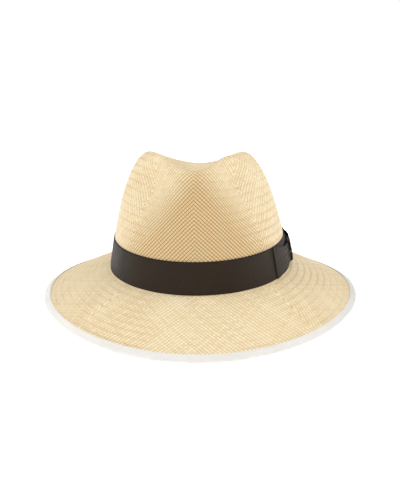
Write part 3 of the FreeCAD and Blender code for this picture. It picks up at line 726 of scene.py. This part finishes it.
def wing_points(side, gap, gather, end_offset, end_lift, puff, fill):
    """A flat loop of ribbon, pleated where the knot gathers it: out along its outer layer, round the fold and
    back along its inner layer.  side is -1 towards the front and 1 towards the back, gap lies between the two
    layers, gather is the share of the length that stays narrow, and end_offset and end_lift stand the far end
    off the crown.  puff swells the outer layer, and fill brings it out to the knot."""
    ends = (BOW_ANGLE + side * WING_START / BASE_HALF_LENGTH, BOW_ANGLE + side * WING_ANGLE)
    length = BASE_HALF_LENGTH * abs(ends[1] - ends[0])
    low = WING_LAYER / 2
    high = gap + 1.5 * WING_LAYER
    radius = (high - low) / 2
    last = 1 - radius / length
    run = np.linspace(0, last, 40)
    fold = np.linspace(pi / 2, -pi / 2, 9)[1:-1]
    share = np.concatenate([run, last + radius / length * np.cos(fold), run[::-1]])
    in_knot = np.clip(1 - run / KNOT_REACH, 0, 1) ** 2 * (1 + 2 * np.clip(run / KNOT_REACH, 0, 1))
    outer = high + fill * in_knot + puff * np.sin(pi * (run / last) ** 0.7) ** 2
    depth = np.concatenate([outer, (low + high) / 2 + radius * np.sin(fold), np.full(len(run), low)])
    open_share = np.clip((share - gather) / (1 - gather), 0, 1)
    widening = open_share ** 2 * (3 - 2 * open_share)
    pleated = WING_PLEAT * (1 - widening)
    pleats = pleated * np.cos(2 * pi * WING_PLEATS * np.linspace(0, 1, WING_ROWS))[:, None]
    lift = WING_OFFSET + (end_offset - WING_OFFSET) * share + end_lift * share ** 2 + depth + pleats
    return band_rows(ends[0] + (ends[1] - ends[0]) * share, lift, WING_ROWS,
                     WING_BOTTOM + (RIBBON_BOTTOM - WING_BOTTOM) * widening,
                     WING_TOP + (RIBBON_TOP - WING_TOP) * widening)


def make_wings(dark):
    """The front wing lies down on the hatband, and the rear one stands a little off the crown."""
    front = wing_points(side=-1, gap=0.2 * MM, gather=0.3, end_offset=FRONT_WING_END_OFFSET, end_lift=0,
                        puff=0.1 * MM, fill=1.2 * MM)
    rear = wing_points(side=1, gap=1.2 * MM, gather=0.6, end_offset=WING_OFFSET, end_lift=REAR_WING_LIFT,
                       puff=1.4 * MM, fill=0.3 * MM)
    wings = (("bow_front_loop", "bow_front_wing", front), ("bow_rear_loop", "bow_rear_wing", rear))
    for name, node, points in wings:
        piece = cloth_object(name, points, WING_THICKNESS)
        settle(piece, dark, "dark_ribbon", node)


RING_SPACING = 0.9 * MM


def ring_line(half_depth, half_height, radius, spacing):
    """An upright rounded rectangle as evenly spaced points of x and z, closed on itself."""
    corner = np.linspace(0, pi / 2, 8)
    middle = np.array([half_depth - radius, half_height - radius])
    points = []
    for number, signs in enumerate(((1, 1), (-1, 1), (-1, -1), (1, -1))):
        turn = corner + number * pi / 2
        points.append(signs * middle + radius * np.stack([np.cos(turn), np.sin(turn)], axis=-1))
    line = np.concatenate(points + [points[0][:1]])
    length = running_length(line, 0)
    even = np.linspace(0, length[-1], int(length[-1] / spacing) + 1)
    return np.stack([np.interp(even, length, line[:, i]) for i in (0, 1)], axis=-1)


def ribbon_ring(name, width, half_depth, half_height, radius, pleats, pleat_depth, thickness, matrix):
    """A short ribbon wrapped into a ring that is open along Y, with soft pleats along its outer face."""
    line = ring_line(half_depth, half_height, radius, RING_SPACING)
    across = np.linspace(-width / 2, width / 2, 21)
    fold = pleat_depth * (0.5 - 0.5 * np.cos(2 * pi * pleats * (across / width + 0.5)))
    from_ends = np.clip((half_height - np.abs(line[:, 1])) / (3 * radius), 0, 1)
    outer = np.clip(line[:, 0] / half_depth, 0, 1) * from_ends
    x = line[None, :, 0] + fold[:, None] * outer[None, :]
    points = xyz(x, across[:, None] + 0 * x, line[None, :, 1] + 0 * x)
    turned = points @ np.array(matrix.to_3x3()).T + np.array(matrix.translation)
    return cloth_object(name, turned, thickness)


def make_knot(dark):
    """The ribbon round the middle of the bow, leaning with the crown's wall."""
    level = np.array([-(WING_BOTTOM + WING_TOP) / 2])
    at, over = (lifted(wall_by_level, np.array([BOW_ANGLE]), level - rise, np.array([KNOT_DISTANCE]))[0]
                for rise in (0, MM))
    up = Vector(over - at).normalized()
    backward = Vector((-sin(BOW_ANGLE) / BASE_HALF_LENGTH, cos(BOW_ANGLE) / BASE_HALF_WIDTH, 0)).normalized()
    outward = backward.cross(up).normalized()
    turn = Matrix((outward, up.cross(outward), up)).transposed().to_4x4()
    piece = ribbon_ring("bow_knot_wrap", width=0.014, half_depth=0.00175, half_height=0.00995, radius=0.0009,
                        pleats=3, pleat_depth=0.4 * MM, thickness=0.36 * MM,
                        matrix=Matrix.Translation(at) @ turn)
    settle(piece, dark, "dark_ribbon", "bow_knot")


def make_tacks(thread):
    """Small stitches that hold the ribbon's two edges to the straw by turns."""
    angle = np.radians(TACK_ANGLES)
    at_top = np.arange(len(angle)) % 2
    height = np.where(at_top, RIBBON_TOP - TACK_INSET, RIBBON_BOTTOM + TACK_INSET)
    lift = np.full(len(angle), RIBBON_MIDDLE + RIBBON_THICKNESS / 2 + TACK_LIFT)
    centre = lifted(wall_by_level, angle, -height, lift)
    up = unit(lifted(wall_by_level, angle, -height - MM, lift) - centre)
    out = unit(lifted(wall_by_level, angle, -height, lift + MM) - centre)
    piece = stitches_object("hatband_tack_stitches", centre, up, out, length=2.4 * MM, radius=0.18 * MM)
    settle(piece, thread, "dark_thread", "hatband_tacks")


# ---------------------------------------------------------------- sweatband and what is sewn to it

SWEAT_END_GAP = 0.3 * MM
SWEAT_WAVE = 0.35 * MM
SWEAT_ROWS = 17
TAPE_HEIGHT = 0.0026
TAPE_DEPTH = -0.225 * MM
SWEAT_STITCH_COUNT = 180
SWEAT_STITCH_HEIGHT = 0.00315
SWEAT_STITCH_LIFT = 0.10 * MM

PATCH_COLUMNS = 25
PATCH_ROWS = 12
SEAM_TAPE_SIDES = (-0.008, 0.008)
SEAM_TAPE_ENDS = (0.031, 0.008)
SEAM_TAPE_DEPTH = -0.25 * MM
LABEL_SIDES = (0.014, 0.038)
LABEL_ENDS = (0.029, 0.014)
LABEL_LIFT = 0.27 * MM
LABEL_LOOSE = 0.25 * MM

BACK_BOW_HEIGHT = 0.0104
BACK_BOW_HALF_LENGTH = 0.0168
BACK_BOW_HALF_WIDTH = 0.004
BACK_BOW_HALF_DEPTHS = (0.45 * MM, 1.1 * MM)
BACK_BOW_PINCH = 0.008
BACK_BOW_STANDOFF = 2.3 * MM


def sweat_strip(angle, low, high, depth, rows):
    """A strip along the sweatband, from its upper edge down."""
    height, angle = np.meshgrid(np.linspace(high, low, rows), angle, indexing="ij")
    return sweat_face(angle, height, depth)


def back_angle(x, height, depth):
    """The angle at the back of the sweatband where its face is at a given x."""
    share = (height - SWEAT_BOTTOM) / SWEAT_HEIGHT
    half_width = SWEAT_BASE[0] + (SWEAT_TOP[0] - SWEAT_BASE[0]) * share - depth
    return np.arccos((x + CROWN_LEAN * height) / half_width)


def back_patch(x_points, z_points, depth):
    """A patch of cloth at the back of the sweatband; its rows go down and its columns towards +X."""
    z, x = np.meshgrid(z_points, x_points, indexing="ij")
    return sweat_face(back_angle(x, z, depth), z, depth)


def make_sweatband():
    """Leather, with its ends butted at the back and its free upper edge slightly wavy."""
    gap = SWEAT_END_GAP / SWEAT_BASE[0]
    angle = np.linspace(BACK + gap, BACK + 2 * pi - gap, 361)
    share = np.linspace(1, 0, SWEAT_ROWS)[:, None]
    wave = SWEAT_WAVE * (np.sin(angle * 5 + 1) + np.sin(angle * 9 + 3) + 2) * share ** 3
    points = sweat_strip(angle, SWEAT_BOTTOM, SWEAT_BOTTOM + SWEAT_HEIGHT, SWEAT_THICKNESS / 2 + wave,
                         SWEAT_ROWS)
    piece = cloth_object("sweatband_leather", points, thickness=0.9 * MM)
    settle(piece, leather_material(), "sweat_leather", "sweatband")


def make_tape(tape):
    """The welt between the straw and the sweatband's lower edge."""
    angle = np.linspace(BACK, BACK + 2 * pi, 361)
    points = sweat_strip(angle, SWEAT_BOTTOM, SWEAT_BOTTOM + TAPE_HEIGHT, TAPE_DEPTH, 4)
    piece = cloth_object("reed_tape_strip", points, thickness=0.22 * MM)
    settle(piece, tape, "tape_cloth", "reed_tape")


def make_sweatband_stitches(thread):
    """One row of stitches just above the leather's lower edge."""
    angle = BACK + (np.arange(SWEAT_STITCH_COUNT) + 0.5) * 2 * pi / SWEAT_STITCH_COUNT
    height = SWEAT_BOTTOM + SWEAT_STITCH_HEIGHT
    depth = SWEAT_THICKNESS + SWEAT_STITCH_LIFT
    centre = sweat_face(angle, height, depth)
    before, after = (sweat_face(angle + step, height, depth) for step in (-ANGLE_STEP, ANGLE_STEP))
    along = unit(after - before)
    inward = unit(sweat_face(angle, height, depth + MM) - centre)
    piece = stitches_object("sweatband_stitches", centre, along, inward, length=2.4 * MM, radius=0.2 * MM)
    settle(piece, thread, "ivory_thread", "sweatband_thread")


def make_seam_tape(tape):
    """The patch behind the leather's butted ends."""
    x = np.linspace(*SEAM_TAPE_SIDES, PATCH_COLUMNS)
    z = np.linspace(*SEAM_TAPE_ENDS, PATCH_ROWS)
    piece = cloth_object("back_seam_tape_strip", back_patch(x, z, SEAM_TAPE_DEPTH), thickness=0.26 * MM)
    settle(piece, tape, "tape_cloth", "back_seam_tape")


def make_label():
    """A blank satin tag, whose lower edge stands a little off the leather."""
    x = np.linspace(*LABEL_SIDES, PATCH_COLUMNS)
    z = np.linspace(*LABEL_ENDS, PATCH_ROWS)
    loose = LABEL_LOOSE * np.linspace(0, 1, PATCH_ROWS)[:, None] ** 2 * (1 + 0.5 * np.sin(x * 400)[None, :])
    points = back_patch(x, z, SWEAT_THICKNESS + LABEL_LIFT + loose)
    piece = cloth_object("size_label_tag", points, thickness=0.26 * MM)
    satin = cloth_material("label_cloth", colour(240, 237, 228), colour(214, 210, 198),
                           pitch=0.22 * MM, depth=0.05 * MM)
    settle(piece, satin, "label_cloth", "size_label")


def make_back_bow(brown):
    """Two small flat loops in one length of ribbon, pinched in at the middle, and the knot round them."""
    turn = np.linspace(0, 2 * pi, 97)
    x = BACK_BOW_HALF_LENGTH * np.sign(np.cos(turn)) * np.abs(np.cos(turn)) ** 0.7
    thin, full = BACK_BOW_HALF_DEPTHS
    half_depth = thin + (full - thin) * np.clip(np.abs(x) / BACK_BOW_PINCH, 0, 1) ** 1.5
    swing = np.sign(np.sin(turn)) * np.abs(np.sin(turn)) ** 0.6
    depth = SWEAT_THICKNESS + BACK_BOW_STANDOFF - half_depth * swing
    heights = np.linspace(BACK_BOW_HEIGHT + BACK_BOW_HALF_WIDTH, BACK_BOW_HEIGHT - BACK_BOW_HALF_WIDTH, 9)
    z, x = np.meshgrid(heights, x, indexing="ij")
    points = sweat_face(back_angle(x, z, depth), z, depth)
    loops = cloth_object("back_bow_ribbon_loops", points, thickness=0.34 * MM)
    settle(loops, brown, "back_bow_ribbon", "back_bow_loops")

    share = (BACK_BOW_HEIGHT - SWEAT_BOTTOM) / SWEAT_HEIGHT
    run_in = SWEAT_BASE[1] - SWEAT_TOP[1] - SWEAT_TOP_SHIFT
    inner_face = SWEAT_BASE[1] - run_in * share - SWEAT_THICKNESS
    centre = Vector((0, inner_face - BACK_BOW_STANDOFF, BACK_BOW_HEIGHT))
    lean = Matrix.Rotation(atan2(run_in, SWEAT_HEIGHT), 4, "X") @ Matrix.Rotation(-pi / 2, 4, "Z")
    knot = ribbon_ring("back_bow_ribbon_knot", width=0.006, half_depth=0.0018, half_height=0.00485,
                       radius=0.0008, pleats=2, pleat_depth=0.2 * MM, thickness=0.34 * MM,
                       matrix=Matrix.Translation(centre) @ lean)
    settle(knot, brown, "back_bow_ribbon", "back_bow_knot")


# ---------------------------------------------------------------- studio

FLOOR_GLOW = 0.75
FLOOR_HALF_SIZE = 14.0
WORLD_LIGHT = 0.38
WHITE = (1, 1, 1, 1)

# Name, angle round from the front and elevation in degrees, distance, size and power.
SOFTBOXES = (("left_softbox", (-68, 32), 1.6, 1.1, 13.0),
             ("right_softbox", (68, 32), 1.6, 1.1, 13.0),
             ("top_softbox", (180, 80), 1.7, 1.3, 17.0),
             ("front_fill", (5, 25), 2.6, 1.2, 1.0))
SOFTBOX_AIM_HEIGHT = 0.05

CAMERA_ELEVATION = radians(15.9)
CAMERA_YAW = radians(-2.0)
CAMERA_ROLL = radians(-0.2)
CAMERA_AIM_HEIGHT = 0.030
CAMERA_SENSOR_MM = 36
CAMERA_LENS_MM = 93.27
CAMERA_SHIFT_Y = -0.04525


def floor_material():
    """Matte white studio paper, with enough light of its own to keep the far part white."""
    n = Nodes("studio_floor", Roughness=0.9, Specular_IOR_Level=0.1, Emission_Color=WHITE)
    cloud = n.noise(n.object_place(), 3, 2)
    n.set("Base Color", n.mix(cloud, (0.88, 0.88, 0.88, 1), (0.90, 0.90, 0.90, 1)))
    n.set("Emission Strength", FLOOR_GLOW)
    return n.material


def make_floor():
    """A large square at the height where the brim's binding rests."""
    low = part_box("brim_binding")[0].z
    corners = [(-1, -1), (1, -1), (1, 1), (-1, 1)]
    points = np.array([(x * FLOOR_HALF_SIZE, y * FLOOR_HALF_SIZE, low) for x, y in corners])
    floor = mesh_object("studio_floor", points, np.array([[0, 1, 2, 3]]))
    floor.data.materials.append(floor_material())


def make_softbox(name, direction, distance, size, power):
    """A square area light that looks at the hat."""
    data = bpy.data.lights.new(name, "AREA")
    data.energy = power
    data.size = size
    light = bpy.data.objects.new(name, data)
    bpy.context.scene.collection.objects.link(light)
    around, up = (radians(part) for part in direction)
    place = Vector((sin(around) * cos(up), -cos(around) * cos(up), sin(up))) * distance
    light.location = place + Vector((0, 0, SOFTBOX_AIM_HEIGHT))
    light.rotation_euler = (-place).to_track_quat("-Z", "Y").to_euler()


def make_world():
    """White to look at, and softer than that as a light."""
    world = bpy.data.worlds.new("studio")
    world.use_nodes = True
    tree = world.node_tree
    soft = tree.nodes["Background"]
    soft.inputs["Strength"].default_value = WORLD_LIGHT
    white = tree.nodes.new("ShaderNodeBackground")
    for node in (soft, white):
        node.inputs["Color"].default_value = WHITE
    mixer = tree.nodes.new("ShaderNodeMixShader")
    rays = tree.nodes.new("ShaderNodeLightPath")
    tree.links.new(rays.outputs["Is Camera Ray"], mixer.inputs[0])
    tree.links.new(soft.outputs[0], mixer.inputs[1])
    tree.links.new(white.outputs[0], mixer.inputs[2])
    tree.links.new(mixer.outputs[0], tree.nodes["World Output"].inputs[0])
    bpy.context.scene.world = world


def make_lights():
    make_world()
    for softbox in SOFTBOXES:
        make_softbox(*softbox)


def make_camera():
    """In front of the hat, looking slightly down at it from a metre away."""
    target = Vector((0, 0, CAMERA_AIM_HEIGHT))
    back = Matrix.Rotation(-CAMERA_YAW, 3, "Z") @ Vector((0, -cos(CAMERA_ELEVATION), sin(CAMERA_ELEVATION)))
    data = bpy.data.cameras.new("camera")
    data.sensor_fit = "HORIZONTAL"
    data.sensor_width = CAMERA_SENSOR_MM
    data.lens = CAMERA_LENS_MM
    data.shift_y = CAMERA_SHIFT_Y
    camera = bpy.data.objects.new("camera", data)
    bpy.context.scene.collection.objects.link(camera)
    turn = (-back).to_track_quat("-Z", "Y").to_matrix() @ Matrix.Rotation(CAMERA_ROLL, 3, "Z")
    camera.matrix_world = Matrix.Translation(target + back) @ turn.to_4x4()
    bpy.context.scene.camera = camera
    bpy.context.scene.view_settings.view_transform = "Standard"


# ---------------------------------------------------------------- the whole hat

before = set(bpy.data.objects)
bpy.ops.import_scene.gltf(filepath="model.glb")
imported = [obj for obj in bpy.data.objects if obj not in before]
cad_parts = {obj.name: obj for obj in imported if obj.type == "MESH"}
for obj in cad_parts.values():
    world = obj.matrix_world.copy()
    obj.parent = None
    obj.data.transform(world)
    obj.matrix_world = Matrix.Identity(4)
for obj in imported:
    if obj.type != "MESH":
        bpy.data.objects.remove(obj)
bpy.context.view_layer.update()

ivory_ribbon = ribbon_material("ivory_ribbon", colour(238, 236, 232), colour(216, 213, 207),
                               rib_pitch=0.8 * MM, rib_depth=0.12 * MM, gloss=0.3)
dark_ribbon = ribbon_material("dark_ribbon", colour(46, 37, 28), colour(29, 22, 16),
                              rib_pitch=1.1 * MM, rib_depth=0.20 * MM, gloss=0.14)
brown_ribbon = ribbon_material("back_bow_ribbon", colour(150, 112, 78), colour(104, 74, 48),
                               rib_pitch=0.5 * MM, rib_depth=0.08 * MM, gloss=0.5)
ivory_thread = thread_material("ivory_thread", colour(244, 242, 232), colour(206, 202, 186))
dark_thread = thread_material("dark_thread", colour(46, 40, 34), colour(24, 20, 17))
tape_cloth = cloth_material("tape_cloth", colour(226, 216, 194), colour(190, 176, 150),
                            pitch=0.35 * MM, depth=0.08 * MM)

make_straw()
make_binding(ivory_ribbon)
make_binding_stitches(ivory_thread)
make_hatband(dark_ribbon)
make_wings(dark_ribbon)
make_knot(dark_ribbon)
make_tacks(dark_thread)
make_sweatband()
make_tape(tape_cloth)
make_sweatband_stitches(ivory_thread)
make_seam_tape(tape_cloth)
make_label()
make_back_bow(brown_ribbon)
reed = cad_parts["sweatband_reed"]
reed.data.materials.clear()
reed.data.materials.append(reed_material())

make_floor()
make_lights()
make_camera()
